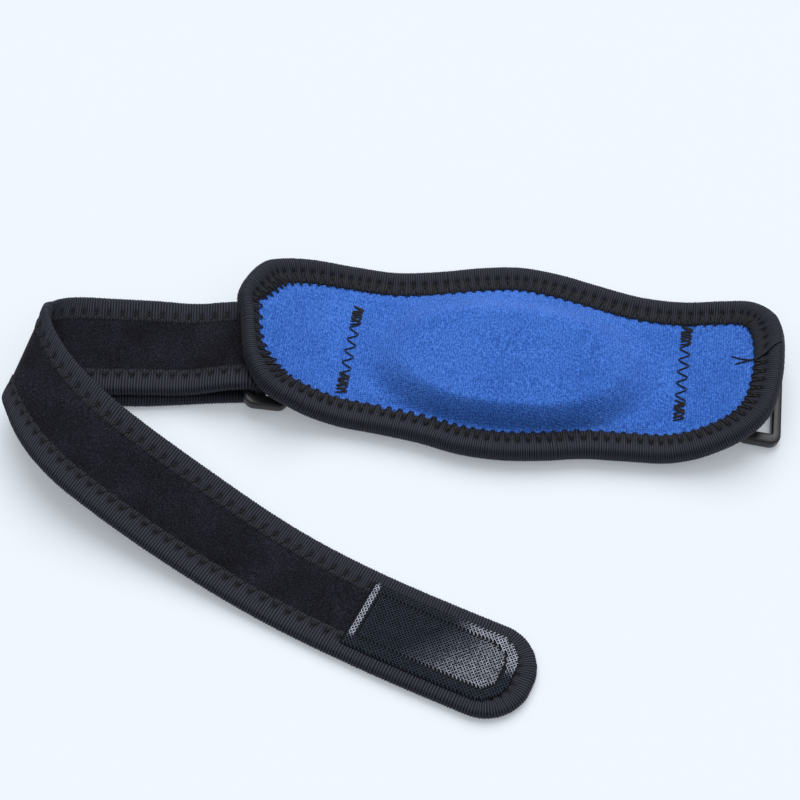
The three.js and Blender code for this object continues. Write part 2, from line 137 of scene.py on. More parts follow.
# Folded tape and the zigzag stitches that hold it, alike on the pad and on the strap.
TAPE_ROLL = Sizes(turn=78, steps=7, squareness=0.85, inner_every=3)
# The last field sets how bright the painted highlight on the flange's ribs is, beside that on the roll.
RIBS = Sizes(lowest=0.75, highest=1.25, shift=0.07, crest=0.8, on_flange=0.6, flange_tone=0.88)
# The shade field is painted shade that darkens the tape's colour in the needle holes.
NEEDLE = Sizes(reach=0.9, depth=0.45, shade=0.8, thread_reach=0.7, thread_depth=0.12)
ZIGZAG = Sizes(points=8, dive=-0.45, raised=0.9, tape_edge=0.2, soften=(0.25, 0.5, 0.25))
PUCKER = Sizes(past_tape=0.9, reach=1.7, depth=0.3)

# Stitching of the tabs on the pad's face: lines from far to near, and the size of their zigzags.
TAB_SEAMS = [((-59, 17.2), (-60.8, -22.8)), ((64.8, 22.5), (63.5, -20.4))]
SEAM_STITCH = Sizes(width=5.0, pitch=2.6, tack=9.5, thread=0.28, raised=0.7, middle=0.12, dive=-0.4)
SEAM_DIP = Sizes(depth=0.45, reach=2.4)
TACK_PITCHES = (1.5, 1.9)

# Cloth that swells up between the stitches along part of the near edge.
SWELL = Sizes(left=-46, right=20, fade=0.7, long=1.8, wide=1.25, tall=1.15, inward=-0.75)

# Soft fold of the strap, row by row along it: its middle line seen along the fold, the way that line
# drifts towards the viewer, the way a straight cut across the strap lies, and the lift of its far edge.
FOLD_AXIS = 12
FOLD_LINE = [
    # out, up, drift in degrees, lay of a cut in degrees, lift for each millimetre across
    (-12, 8.8, 18, 18, 0.13),
    (0, 8.8, 18, 18, 0.13),
    (10, 9.1, 18.5, 18, 0.15),
    (18.5, 9.6, 21, 15, 0.17),
    (26, 10.4, 27, 9, 0.19),
    (31, 11.8, 41, 5, 0.19),
    (33.2, 14, 56, 3, 0.16),
    (31.9, 16.3, 58, 3, 0.12),
    (27.5, 17.5, 48, 3, 0.1),
    (19, 17.6, 38, 5, 0.09),
    (7, 16.6, 27.5, 8, 0.09),
    (-8, 14.2, 18, 12, 0.08),
    (-26, 10.8, 15.5, 14.5, 0.07),
    (-44, 7.5, 14.5, 14.5, 0.05),
    (-62, 4.7, 14, 14, 0.02),
    (-80, 2.8, 12.5, 12.5, 0),
    (-98, 2.1, 10.5, 10.5, 0),
    (-116, 2, 8.5, 8.5, 0),
    (-140, 2, 6.5, 6.5, 0),
    (-166, 2, 5.5, 5.5, 0),
    (-210, 2, 5, 5, 0),
]

# The camera stands where the photograph was taken from.
CAMERA = Sizes(place=(13.5, -458.7, 683.7), elevation=57, yaw=-6.8, lens=99, sensor=36)

# The pad's middle in the frame, read off the right webbing loop.
low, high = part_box("tab_right")
ORIGIN = np.array([
    low.x / MM - (RIGHT_SEAM.x - TAB.seam_in),
    (low.y + high.y) / 2 / MM - RIGHT_SEAM.y,
    low.z / MM,
])


# Easing and lines in space

def unit(vectors):
    return vectors / np.linalg.norm(vectors, axis=-1, keepdims=True)


def smoothstep(value, start, end):
    share = np.clip((value - start) / (end - start), 0, 1)
    return share * share * (3 - 2 * share)


def bell(value, reach):
    return np.exp(-((value / reach) ** 2))


class Line:
    """A dense line of points that can be asked for its place and direction at any distance along it."""

    def __init__(self, points):
        self.points = np.asarray(points, float)
        steps = np.linalg.norm(np.diff(self.points, axis=0), axis=1)
        self.distance = np.concatenate([[0], np.cumsum(steps)])
        self.length = self.distance[-1]
        self.ways = np.gradient(self.points, self.distance, axis=0)

    def read(self, values, distance):
        columns = [np.interp(distance, self.distance, column) for column in values.T]
        return np.stack(columns, -1)

    def at(self, distance):
        return self.read(self.points, distance), unit(self.read(self.ways, distance))


def centripetal(points, closed, steps=40):
    """Dense points on a centripetal Catmull-Rom curve."""
    points = np.asarray(points, float)
    if closed:
        around = np.vstack([points[-1:], points, points[:2]])
    else:
        around = np.vstack([2 * points[0] - points[1], points, 2 * points[-1] - points[-2]])
    share = np.arange(steps)[:, None] / steps
    dense = []
    for a, b, c, d in zip(around, around[1:], around[2:], around[3:]):
        ab, bc, cd = (np.linalg.norm(end - start) ** 0.5 for start, end in ((a, b), (b, c), (c, d)))
        leave = bc * ((b - a) / ab - (c - a) / (ab + bc) + (c - b) / bc)
        arrive = bc * ((c - b) / bc - (d - b) / (bc + cd) + (d - c) / cd)
        square, cube = share**2, share**3
        dense.append(
            b * (2 * cube - 3 * square + 1)
            + leave * (cube - 2 * square + share)
            + c * (3 * square - 2 * cube)
            + arrive * (cube - square)
        )
    dense.append(around[-2:-1] if not closed else points[:1])
    return np.vstack(dense)


def arc(centre, radius, start, end, steps=24):
    angles = np.radians(np.linspace(start, end, steps))
    return np.asarray(centre) + radius * np.stack([np.cos(angles), np.sin(angles)], -1)


def bezier(a, b, c, d, steps):
    share = np.linspace(0, 1, steps)[:, None]
    a, b, c, d = (np.asarray(point, float) for point in (a, b, c, d))
    rest = 1 - share
    return a * rest**3 + 3 * b * rest**2 * share + 3 * c * rest * share**2 + d * share**3


# Where a bit of the pad lies

PAD_LEVEL = PAD.over_table + PAD_TAPE.half


def pad_point(x, y, height):
    past = np.maximum(0, np.abs(x) - PAD_ENDS.lift_from)
    full_slope = np.where(x < 0, PAD_ENDS.left_slope, PAD_ENDS.right_slope)
    slope = full_slope * np.minimum(1, past / PAD_ENDS.hinge)
    rise = np.where(past < PAD_ENDS.hinge, slope * past / 2, slope * (past - PAD_ENDS.hinge / 2))
    tilt = np.arctan(slope) * np.sign(x)
    up = PAD_LEVEL + rise + height * np.cos(tilt)
    return np.stack(np.broadcast_arrays(x - height * np.sin(tilt), y, up), -1)


def dome_reach(x, y):
    """How far out on the dome a spot lies, with 1 at the dome's foot."""
    power = DOME.squareness
    return (np.abs(x / DOME.half_length) ** power + np.abs(y / DOME.half_width) ** power) ** (1 / power)


def dome_height(x, y):
    reach = np.minimum(1, dome_reach(x, y))
    far_share = np.clip(0.5 + 0.5 * y / DOME.half_width / np.maximum(reach, 1e-6), 0, 1)
    shoulder = DOME.near_shoulder + (DOME.far_shoulder - DOME.near_shoulder) * far_share
    side = (1 - DOME.crown) * smoothstep(1 - reach, 0, shoulder)
    return DOME.height * (side + DOME.crown * (1 - reach**2))


def foot_height(x, y):
    """Soft rise of the cloth round the dome's foot."""
    reach = dome_reach(x, y)
    rise = smoothstep(reach, *DOME_FOOT.rise)
    fall = smoothstep(reach, *DOME_FOOT.fall)
    return DOME_FOOT.height * rise * (1 - fall)


def face_height(x, y):
    return CLEAR / 2 + PAD.layer + dome_height(x, y)


pad_far = [(x, far) for x, far, near in PAD_EDGE]
pad_near = [(x, near) for x, far, near in reversed(PAD_EDGE)]
pad_line = Line(centripetal([PAD_LEFT_END, *pad_far, PAD_RIGHT_END, *pad_near], closed=True))


def pad_edge(distance, inward):
    """Place in plan of a spot that lies inward from the pad's rim."""
    spot, way = pad_line.at(np.mod(distance, pad_line.length))
    return spot + np.stack([way[..., 1], -way[..., 0]], -1) * np.asarray(inward)[..., None]


def tape_reach(distance, inward):
    """How far inward a bit of the pad's tape lies: less at the pad's left end, more on its far side.

    Stitches that reach beyond the tape are long at the left end only.
    """
    reach = PAD_TAPE_REACH
    x, y = np.moveaxis(pad_line.read(pad_line.points, np.mod(distance, pad_line.length)), -1, 0)
    beside = smoothstep(y, reach.left_near, reach.left_nearest)
    at_left = beside * (1 - smoothstep(x, reach.left, reach.right))
    at_left = at_left * (1 - smoothstep(y, reach.left_far, reach.left_farthest))
    share = 1 - (1 - reach.left_share) * at_left
    share = share * (1 + (reach.far_share - 1) * smoothstep(y, reach.middle, reach.far))
    flange = np.clip(inward - PAD_TAPE.roll, 0, PAD_TAPE.cover - PAD_TAPE.roll)
    beyond = np.maximum(0, inward - PAD_TAPE.cover)
    teeth = 1 - (1 - reach.teeth) * smoothstep(x, reach.teeth_from, reach.teeth_to)
    return inward + flange * (share - 1) + beyond * (teeth - 1)


def on_pad_tape(distance, inward, height):
    plan = pad_edge(distance, tape_reach(distance, inward))
    return pad_point(plan[..., 0], plan[..., 1], height)


# Where a bit of the strap lies

INNER_BAR_UP = TAB.turn + TAB.thick / 2
BAR_SPACING = RING.long - RING.bar
LEFT_BAR_UP = 2 * STRAP.half + STRAP.ring_gap + RING.thick / 2
RIGHT_BAR_UP = RING.over_table + RING.thick / 2
UPPER_LAYER = LEFT_BAR_UP + RING.thick / 2 + STRAP.ring_gap + STRAP.half
TURN_RADIUS = (UPPER_LAYER - STRAP.half) / 2
SEWN_LAYER = 3 * STRAP.half + CLEAR

ring_turn = Line(np.vstack([
    np.linspace((SEWN_END.folded_back, STRAP.half), (0, STRAP.half), 40)[:-1],
    arc((0, LEFT_BAR_UP), TURN_RADIUS, 270, 90, 60)[:-1],
    bezier(
        (0, UPPER_LAYER),
        (SEWN_END.ease, UPPER_LAYER),
        (SEWN_END.ease_out - SEWN_END.ease, SEWN_LAYER),
        (SEWN_END.ease_out, SEWN_LAYER),
        40,
    )[:-1],
    np.linspace((SEWN_END.ease_out, SEWN_LAYER), (SEWN_END.flat_from, SEWN_LAYER), 20),
]))

FOLD_STEPS = 40
soft_fold = Line(centripetal([row[:2] for row in FOLD_LINE], closed=False, steps=FOLD_STEPS))
fold_rows = np.arange(len(FOLD_LINE))
fold_steps = np.arange(len(soft_fold.distance)) / FOLD_STEPS
fold_drift_angle, fold_lay, fold_lift = (
    np.interp(fold_steps, fold_rows, column) for column in np.array(FOLD_LINE).T[2:]
)
fold_spans = np.diff(soft_fold.distance, prepend=0)
fold_drift = -np.cumsum(fold_spans * np.tan(np.radians(fold_drift_angle)))
fold_along = np.cumsum(fold_spans / np.cos(np.radians(fold_drift_angle)))
fold_start = -FOLD_LINE[0][0]
drift_at_start = np.interp(fold_start, soft_fold.distance, fold_drift)
along_at_start = np.interp(fold_start, soft_fold.distance, fold_along)


def heading(degrees):
    return np.array([math.cos(math.radians(degrees)), math.sin(math.radians(degrees))])


far_way = heading(LEFT_SEAM.heading)
far_across = heading(LEFT_SEAM.heading - 90)
fold_out = heading(180 - FOLD_AXIS)
fold_across = heading(90 - FOLD_AXIS)
bar_reach = math.sqrt(BAR_SPACING**2 - (LEFT_BAR_UP - INNER_BAR_UP) ** 2)
outer_bar = np.array([LEFT_SEAM.x, LEFT_SEAM.y]) + far_way * (TAB.inner_bar + bar_reach)
fold_origin = outer_bar + far_way * SEWN_END.flat_from
strap_end = ring_turn.length + STRAP.length - SEWN_END.flat_from


def strap_point(along, across, height):
    """Place of a bit of strap from how far along and across it lies and how far off its middle layer."""
    along, across, height = np.broadcast_arrays(*(np.asarray(v, float) for v in (along, across, height)))
    spot, way = ring_turn.at(along)
    out = (spot[..., 0] - height * way[..., 1])[..., None]
    eased = smoothstep(spot[..., 0], 0, SEWN_END.flat_from)
    under = SEWN_END.askew * eased * (along < SEWN_END.folded_back)
    plan = outer_bar + far_way * out + far_across * (across - under)[..., None]
    lift = FOLD_LINE[0][4] * eased * (across + STRAP.wide / 2)
    at_ring = np.concatenate([plan, (spot[..., 1] + height * way[..., 0] + lift)[..., None]], -1)

    run = np.interp(along - ring_turn.length + along_at_start, fold_along, soft_fold.distance)
    columns = (np.radians(fold_lay), fold_lift, fold_drift)
    lay, lift, drift = (np.interp(run, soft_fold.distance, column) for column in columns)
    spot, way = soft_fold.at(run + across * np.sin(lay))
    out = (spot[..., 0] - height * way[..., 1])[..., None]
    side = (drift - drift_at_start + across * np.cos(lay))[..., None]
    up = spot[..., 1] + height * way[..., 0] + across * lift
    in_fold = np.concatenate([fold_origin + fold_out * out + fold_across * side, up[..., None]], -1)
    return np.where((along < ring_turn.length)[..., None], at_ring, in_fold)


def strap_half_width(along):
    share = smoothstep(along, strap_end - TAPER.start, strap_end - TAPER.end)
    return (STRAP.wide + (STRAP.tip_wide - STRAP.wide) * share) / 2


def strap_outline():
    """The strap's edge in band coordinates, up its near side, round the tip and back."""
    along = np.linspace(0, strap_end - STRAP.tip_corner, 400)
    half = strap_half_width(along)
    side = STRAP.tip_wide / 2 - STRAP.tip_corner
    shoulder = strap_end - STRAP.tip_corner
    near = np.stack([along, -half], -1)
    far = np.stack([along, half], -1)[::-1]
    near_bend = arc((shoulder, -side), STRAP.tip_corner, -90, 0)[1:]
    far_bend = arc((shoulder, side), STRAP.tip_corner, 0, 90)[:-1]
    return Line(np.vstack([near, near_bend, far_bend, far]))


strap_line = strap_outline()


def on_strap_tape(distance, inward, height):
    spot, way = strap_line.at(distance)
    band = spot + np.stack([-way[..., 1], way[..., 0]], -1) * np.asarray(inward)[..., None]
    return strap_point(band[..., 0], band[..., 1], height)


# Meshes

def grid_faces(rows, columns, first=0, ring_rows=False, ring_columns=False):
    row, column = np.meshgrid(
        np.arange(rows if ring_rows else rows - 1),
        np.arange(columns if ring_columns else columns - 1),
        indexing="ij",
    )
    next_row, next_column = (row + 1) % rows, (column + 1) % columns
    corners = (
        row * columns + column,
        row * columns + next_column,
        next_row * columns + next_column,
        next_row * columns + column,
    )
    return np.stack(corners, -1).reshape(-1, 4) + first


def tube_faces(rows, columns, first=0):
    """Faces of a tube made of rings of points, with one flat face over each end."""
    last = first + (rows - 1) * columns
    ends = [range(first, first + columns), range(last + columns - 1, last - 1, -1)]
    return grid_faces(rows, columns, first, ring_columns=True).tolist() + ends


def band_faces(rows, columns):
    """Faces of a flat band whose rows run across its upper side and back along its lower one."""
    faces = grid_faces(rows, columns, ring_columns=True).tolist()
    for first in (0, (rows - 1) * columns):
        for step in range(columns // 2 - 1):
            back = first + columns - 1 - step
            faces.append([first + step, first + step + 1, back - 1, back])
    return faces


def make_piece(name, points, faces, finish, slot, replaces=(), tone=None):
    """A smooth mesh from points in millimetres, riding on the part."""
    mesh = bpy.data.meshes.new(name)
    mesh.from_pydata(((points + ORIGIN) * MM).tolist(), [], [list(map(int, face)) for face in faces])
    mesh.polygons.foreach_set("use_smooth", [True] * len(mesh.polygons))
    mesh.materials.append(finish)
    face_outward(mesh)
    # Optional values of painted light and shade go on the mesh as a point attribute.
    if tone is not None:
        mesh.attributes.new("tone", "FLOAT", "POINT").data.foreach_set("value", tone)
    piece = bpy.data.objects.new(name, mesh)
    scene.collection.objects.link(piece)
    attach(piece, "root")
    if replaces:
        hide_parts(*replaces)
    return piece


def face_outward(mesh):
    mesh.calc_loop_triangles()
    count = len(mesh.loop_triangles)
    corners = np.empty(count * 3, int)
    mesh.loop_triangles.foreach_get("vertices", corners)
    spots = np.empty(len(mesh.vertices) * 3)
    mesh.vertices.foreach_get("co", spots)
    a, b, c = spots.reshape(-1, 3)[corners.reshape(-1, 3)].transpose(1, 0, 2)
    if (a * np.cross(b, c)).sum() < 0:
        mesh.flip_normals()


STEEP = 0.9
THREAD_TIP = 0.15


def tubes(paths, radius, sides=5):
    """Points and faces of round threads along many short paths, tapered to a point at both ends."""
    points, faces, first = [], [], 0
    turn = np.linspace(0, 2 * math.pi, sides, endpoint=False)
    for path in paths:
        path = np.asarray(path, float)
        way = unit(np.gradient(path, axis=0))
        up = np.where(np.abs(way[:, 2:]) > STEEP, (1.0, 0, 0), (0, 0, 1.0))
        side = unit(np.cross(way, up))
        top = np.cross(side, way)
        thick = np.full(len(path), radius)
        thick[[0, -1]] = radius * THREAD_TIP
        ring = side[:, None] * np.cos(turn)[:, None] + top[:, None] * np.sin(turn)[:, None]
        points.append((path[:, None] + ring * thick[:, None, None]).reshape(-1, 3))
        faces.extend(tube_faces(len(path), sides, first))
        first += len(path) * sides
    return np.vstack(points), faces


def joined(parts):
    points, faces, first = [], [], 0
    for spots, some_faces in parts:
        points.append(spots)
        faces.extend([corner + first for corner in face] for face in some_faces)
        first += len(spots)
    return np.vstack(points), faces


# Finishes

class Finish:
    """A material with short ways to add and join its nodes."""

    sockets = {
        "base": "Base Color",
        "roughness": "Roughness",
        "specular": "Specular IOR Level",
        "sheen": "Sheen Weight",
        "sheen_roughness": "Sheen Roughness",
        "glow": "Emission Strength",
        "glow_colour": "Emission Color",
    }

    def __init__(self, name, **sockets):
        self.material = bpy.data.materials.new(name)
        self.material.use_nodes = True
        self.tree = self.material.node_tree
        self.shader = self.tree.nodes["Principled BSDF"]
        for socket, value in sockets.items():
            self.shader.inputs[self.sockets[socket]].default_value = value

    def add(self, kind, links=(), values=(), **settings):
        node = self.tree.nodes.new(kind)
        for setting, value in settings.items():
            setattr(node, setting, value)
        for socket, value in dict(values).items():
            node.inputs[socket].default_value = value
        for socket, source in dict(links).items():
            self.tree.links.new(source, node.inputs[socket])
        return node

    def millimetres(self, stretch=(1, 1, 1), turn=0.0):
        place = self.add("ShaderNodeTexCoord").outputs["Object"]
        scale = [1 / MM * factor for factor in stretch]
        values = {"Scale": scale, "Rotation": (0, 0, turn)}
        return self.add("ShaderNodeMapping", {"Vector": place}, values).outputs["Vector"]

    def noise(self, vector, size, detail, rough):
        values = {"Scale": 1 / size, "Detail": detail, "Roughness": rough}
        return self.add("ShaderNodeTexNoise", {"Vector": vector}, values).outputs["Fac"]

    def bands(self, vector, pitch, axis, wobble):
        values = {"Scale": math.pi / 10 / pitch, "Distortion": wobble, "Detail": 2.0, "Detail Scale": 1.5}
        node = self.add("ShaderNodeTexWave", {"Vector": vector}, values, bands_direction=axis)
        return node.outputs["Fac"]

    def sum(self, first, second, weight):
        scaled = self.add("ShaderNodeMath", {0: second}, {1: weight}, operation="MULTIPLY").outputs[0]
        return self.add("ShaderNodeMath", {0: first, 1: scaled}, operation="ADD").outputs[0]

    def blend(self, first, second, share):
        return self.add("ShaderNodeMix", {2: first, 3: second}, {0: share}).outputs[0]

    # Painted light and shade that a mesh carries as a point attribute.
    def tone(self):
        return self.add("ShaderNodeAttribute", attribute_name="tone").outputs["Fac"]

    def ramp(self, factor, stops):
        node = self.add("ShaderNodeValToRGB", {"Fac": factor})
        elements = node.color_ramp.elements
        while len(elements) < len(stops):
            elements.new(1.0)
        for element, (place, colour) in zip(elements, stops):
            element.position = place
            element.color = (*colour, 1)
        return node.outputs["Color"]

    def colour(self, source):
        self.tree.links.new(source, self.shader.inputs["Base Color"])

    def roughness(self, source, smoothest, roughest):
        values = {"To Min": smoothest, "To Max": roughest}
        node = self.add("ShaderNodeMapRange", {"Value": source}, values)
        self.tree.links.new(node.outputs["Result"], self.shader.inputs["Roughness"])

    def bump(self, height, depth):
        values = {"Strength": 1.0, "Distance": depth * MM}
        node = self.add("ShaderNodeBump", {"Height": height}, values)
        self.tree.links.new(node.outputs["Normal"], self.shader.inputs["Normal"])


def blue_knit():
    finish = Finish("blue_knit", roughness=0.82, specular=0.2, sheen=0.1, sheen_roughness=0.5)
    place = finish.millimetres()
    wales = finish.bands(place, 0.85, "X", 1.6)
    courses = finish.bands(place, 0.7, "Y", 2.5)
    slanted = finish.millimetres((1.0, 0.62, 1.0), math.radians(38))
    fleck = finish.noise(slanted, 0.6, 2.0, 0.5)
    shade = finish.noise(place, 24.0, 2.0, 0.5)
    mixed = finish.sum(finish.sum(fleck, wales, 0.10), shade, 0.2)
    finish.colour(finish.ramp(mixed, [
        (0.42, (0.013, 0.072, 0.36)),
        (0.62, (0.031, 0.136, 0.56)),
        (0.82, (0.076, 0.230, 0.78)),
    ]))
    relief = finish.sum(finish.sum(wales, courses, 0.6), fleck, 1.4)
    finish.bump(relief, 0.10)
    return finish.material


def black_cloth():
    finish = Finish("black_cloth", specular=0.1, sheen=0.03, sheen_roughness=0.6)
    place = finish.millimetres()
    nap = finish.noise(place, 0.55, 3.0, 0.7)
    shade = finish.noise(place, 14.0, 2.0, 0.5)
    finish.colour(finish.ramp(finish.blend(nap, shade, 0.2), [
        (0.38, (0.0012, 0.0012, 0.0024)),
        (0.52, (0.0086, 0.0086, 0.0150)),
        (0.66, (0.0300, 0.0302, 0.0480)),
    ]))
    finish.roughness(nap, 0.8, 1.0)
    finish.bump(nap, 0.15)
    return finish.material


def ribbed_tape():
    finish = Finish("ribbed_tape", specular=0.2, sheen=0.03, sheen_roughness=0.5)
    place = finish.millimetres()
    yarn = finish.noise(place, 0.4, 3.0, 0.65)
    # Colour follows the painted light, with painted shade in grooves and needle holes and a painted
    # highlight on rib crests, mixed with the yarn's noise.
    finish.colour(finish.ramp(finish.blend(finish.tone(), yarn, 0.35), [
        (0.20, (0.0008, 0.0009, 0.0016)),
        (0.55, (0.0083, 0.0097, 0.0180)),
        (0.86, (0.0480, 0.0545, 0.0790)),
    ]))
    finish.roughness(yarn, 0.55, 0.85)
    finish.bump(yarn, 0.10)
    return finish.material


def black_thread():
    finish = Finish("black_thread", specular=0.25)
    place = finish.millimetres(turn=math.radians(30))
    twist = finish.bands(place, 0.25, "DIAGONAL", 1.0)
    finish.colour(finish.ramp(twist, [(0.0, (0.005, 0.005, 0.006)), (1.0, (0.030, 0.028, 0.029))]))
    finish.roughness(twist, 0.45, 0.7)
    finish.bump(twist, 0.05)
    return finish.material


def speckled(name, specular, noise, stops, roughness, depth):
    """A material whose colour, roughness and relief all follow one noise."""
    finish = Finish(name, specular=specular)
    speckle = finish.noise(finish.millimetres(), *noise)
    finish.colour(finish.ramp(speckle, stops))
    finish.roughness(speckle, *roughness)
    finish.bump(speckle, depth)
    return finish.material


def hook_plastic():
    finish = Finish("hook_plastic", specular=0.25)
    cloudy = finish.noise(finish.millimetres(), 2.0, 3.0, 0.6)
    painted_shine = finish.tone()
    # Colour runs from dark slate to pale grey with the painted shine, a reflection painted into the
    # hooks' colour.
    finish.colour(finish.ramp(finish.blend(painted_shine, cloudy, 0.15), [
        (0.08, (0.0030, 0.0045, 0.0080)),
        (0.24, (0.0400, 0.0540, 0.0790)),
        (0.50, (0.1250, 0.1450, 0.1880)),
        (0.90, (0.6200, 0.6600, 0.7600)),
    ]))
    finish.roughness(painted_shine, 0.85, 0.4)
    return finish.material


def webbing():
    finish = Finish("webbing", specular=0.3)
    place = finish.millimetres()
    warp = finish.bands(place, 1.1, "X", 0.6)
    weft = finish.bands(place, 0.8, "Y", 0.6)
    finish.colour(finish.ramp(warp, [(0.0, (0.008, 0.008, 0.009)), (1.0, (0.020, 0.020, 0.022))]))
    finish.roughness(weft, 0.6, 0.85)
    finish.bump(finish.sum(warp, weft, 1.0), 0.2)
    return finish.material


BLUE = blue_knit()
BLACK = black_cloth()
TAPE = ribbed_tape()
THREAD = black_thread()
RING_COLOURS = [(0.3, (0.012, 0.013, 0.016)), (0.75, (0.026, 0.027, 0.032))]
PLASTIC = speckled("ring_plastic", 0.4, (1.6, 5.0, 0.7), RING_COLOURS, (0.22, 0.42), 0.03)
HOOKS = hook_plastic()
WEBBING = webbing()
FOAM_COLOURS = [(0.3, (0.03, 0.03, 0.033)), (0.8, (0.07, 0.07, 0.075))]
FOAM = speckled("foam", 0.2, (0.6, 3.0, 0.7), FOAM_COLOURS, (0.8, 1.0), 0.2)


# Pad layers

PAD_PITCH = pad_line.length / round(pad_line.length / PAD_STITCH.pitch)


def pad_loops():
    """Stations round the pad's rim, those on its near side opposite those on its far side."""
    right = np.argmin(np.hypot(*(pad_line.points - PAD_RIGHT_END).T))
    turn = pad_line.distance[right]
    half = PAD_ROWS.around // 2
    far = np.arange(half) / half * turn
    far_x = pad_line.read(pad_line.points, far)[:, 0]
    near = np.interp(-far_x[:0:-1], -pad_line.points[right:, 0], pad_line.distance[right:])
    return np.concatenate([far, [turn], near])


def seam_dip(x, y):
    """How far the two lines of stitching pull the face down."""
    dip = np.zeros_like(x)
    for start, end in np.array(TAB_SEAMS):
        way = unit(end - start)
        along = (x - start[0]) * way[0] + (y - start[1]) * way[1]
        off = np.abs((x - start[0]) * way[1] - (y - start[1]) * way[0])
        beyond = np.maximum(0, np.maximum(-along, along - np.linalg.norm(end - start)))
        dip += SEAM_DIP.depth * np.exp(-((np.hypot(off, beyond) / SEAM_DIP.reach) ** 4))
    return dip


def pad_layer(name, upper, lower, finish, slot, replaces):
    """Closed layer of cloth between two heights, drawn in loops from its spine to its rim and back."""
    around, gap = PAD_ROWS.around, PAD_ROWS.spine_gap
    stations = pad_loops()
    spot = pad_edge(stations, np.zeros(around))
    edge = pad_edge(stations, np.full(around, PAD.inset))
    inward = unit(edge - spot)
    spine = np.stack([edge[:, 0] * PAD.spine_share, np.zeros(around)], -1)
    sides = [
        (upper, np.linspace(gap, 1, PAD_ROWS.upper)),
        (lower, np.linspace(1, gap, PAD_ROWS.lower)),
    ]
    rows = []
    for height, shares in sides:
        for share in shares:
            plan = spine + (edge - spine) * share
            depth = ((plan - spot) * inward).sum(-1)
            rows.append(pad_point(plan[:, 0], plan[:, 1], height(*plan.T, stations, depth)))
    faces = grid_faces(len(rows), around, ring_columns=True).tolist()
    last = (len(rows) - 1) * around
    for step in range(1, around // 2 + 1):
        near, next_near = around - step, (around - step + 1) % around
        rung = [step - 1, step, near, next_near] if near != step else [step - 1, step, next_near]
        faces.append(rung[::-1])
        faces.append([last + corner for corner in rung])
    return make_piece(name, np.vstack(rows), faces, finish, slot, replaces)


def face_top(x, y, station, depth):
    cover = tape_reach(station, PAD_TAPE.cover)
    pucker = bell(depth - cover - PUCKER.past_tape, PUCKER.reach)
    pull = 0.5 - 0.5 * np.cos(2 * math.pi * station / PAD_PITCH)
    foot = foot_height(x, y) * smoothstep(depth, cover, cover + DOME_FOOT.beside_tape)
    return face_height(x, y) + foot - PUCKER.depth * pucker * pull - seam_dip(x, y)


pad_face = pad_layer(
    "pad_face_cloth",
    face_top,
    lambda x, y, station, depth: CLEAR / 2 + dome_height(x, y),
    BLUE, "pad_cloth", ["pad_face"],
)
pad_back = pad_layer(
    "pad_back_cloth",
    lambda x, y, station, depth: np.full_like(x, -CLEAR / 2),
    lambda x, y, station, depth: np.full_like(x, -CLEAR / 2 - PAD.layer),
    BLACK, "black_cloth", ["pad_back"],
)


# Bound edges

def tape_section(tape, top):
    """Outer and inner line of a folded tape, from its upper edge round the roll to its lower edge."""
    turn = np.radians(np.linspace(TAPE_ROLL.turn, 0, TAPE_ROLL.steps))
    power = TAPE_ROLL.squareness
    bend = np.stack([tape.roll * (1 - np.cos(turn) ** power), tape.half * np.sin(turn) ** power], -1)
    above = np.vstack([top, bend])
    outer = np.vstack([above, above[-2::-1] * (1, -1)])
    way = unit(np.gradient(outer, axis=0))
    normal = np.stack([way[:, 1], -way[:, 0]], -1)
    inner = (outer - normal * tape.wall)[::-1][::TAPE_ROLL.inner_every]
    return Sizes(outer=outer, normal=normal, inner=inner, above=above)


def tape_top(tape, top, inward):
    above = tape_section(tape, top).above[::-1]
    return np.interp(inward, above[:, 0], above[:, 1])


def bound_edge(tape, top, stitch, pitch, start, end, place, seed, join=None):
    """Points, faces and painted light of a ribbed tape folded over an edge from one distance to another:
    a painted highlight on each rib's crest, painted shade in its grooves and needle holes.
    """
    section = tape_section(tape, top)
    ribs = round((end - start) / tape.rib)
    rng = np.random.default_rng(seed)
    height = tape.rib_height * rng.uniform(RIBS.lowest, RIBS.highest, ribs + 1)
    shift = rng.normal(0, RIBS.shift, ribs + 1)
    count = ribs * tape.steps + 1
    rib = np.arange(count) / tape.steps
    which = np.minimum(rib.astype(int), ribs)
    crest = np.sin(math.pi * (rib - np.floor(rib))) ** RIBS.crest
    station = start + (rib + shift[which]) * (end - start) / ribs
    inward, lift = section.outer.T
    phase = station[:, None] / pitch
    off = (phase - np.round(phase)) * pitch
    needle = bell(inward - stitch.outer, NEEDLE.reach) * bell(off, NEEDLE.reach)
    reach = np.clip((inward - stitch.outer) / (tape.cover + stitch.beyond - stitch.outer), 0, 1)
    gap = np.abs(np.abs(off) - reach * pitch / 2)
    pressed = bell(gap, NEEDLE.thread_reach) * (inward >= stitch.outer)
    on_flange = inward > stitch.outer
    push = (crest * height[which])[:, None] * np.where(on_flange, RIBS.on_flange, 1)
    push = push - NEEDLE.depth * needle - NEEDLE.thread_depth * pressed
    outer_in = inward + section.normal[:, 0] * push
    outer_up = lift + section.normal[:, 1] * push
    inner_in, inner_up = (np.broadcast_to(column, (count, len(column))) for column in section.inner.T)
    all_in = np.hstack([outer_in, inner_in])
    all_up = np.hstack([outer_up, inner_up])
    stations = np.broadcast_to(station[:, None], all_in.shape)
    if join:
        lap = smoothstep(station, end - join.overlap - join.ease, end - join.overlap)[:, None]
        all_up = all_up + np.sign(all_up) * join.height * lap
        nearing = smoothstep(station, end - join.slant_over, end)[:, None]
        stations = stations + nearing * join.slant * (all_in / tape.cover - 0.5)
    points = place(stations, all_in, all_up).reshape(-1, 3)
    # Painted light: a highlight painted on each rib's crest, shade painted in the grooves and in the
    # needle holes; the flange's ribs are painted less bright.
    shade = crest[:, None] * np.where(on_flange, RIBS.flange_tone, 1) * (1 - NEEDLE.shade * needle)
    painted_light_values = np.hstack([shade, np.zeros_like(inner_in)]).ravel()
    return points, tube_faces(*all_in.shape), painted_light_values


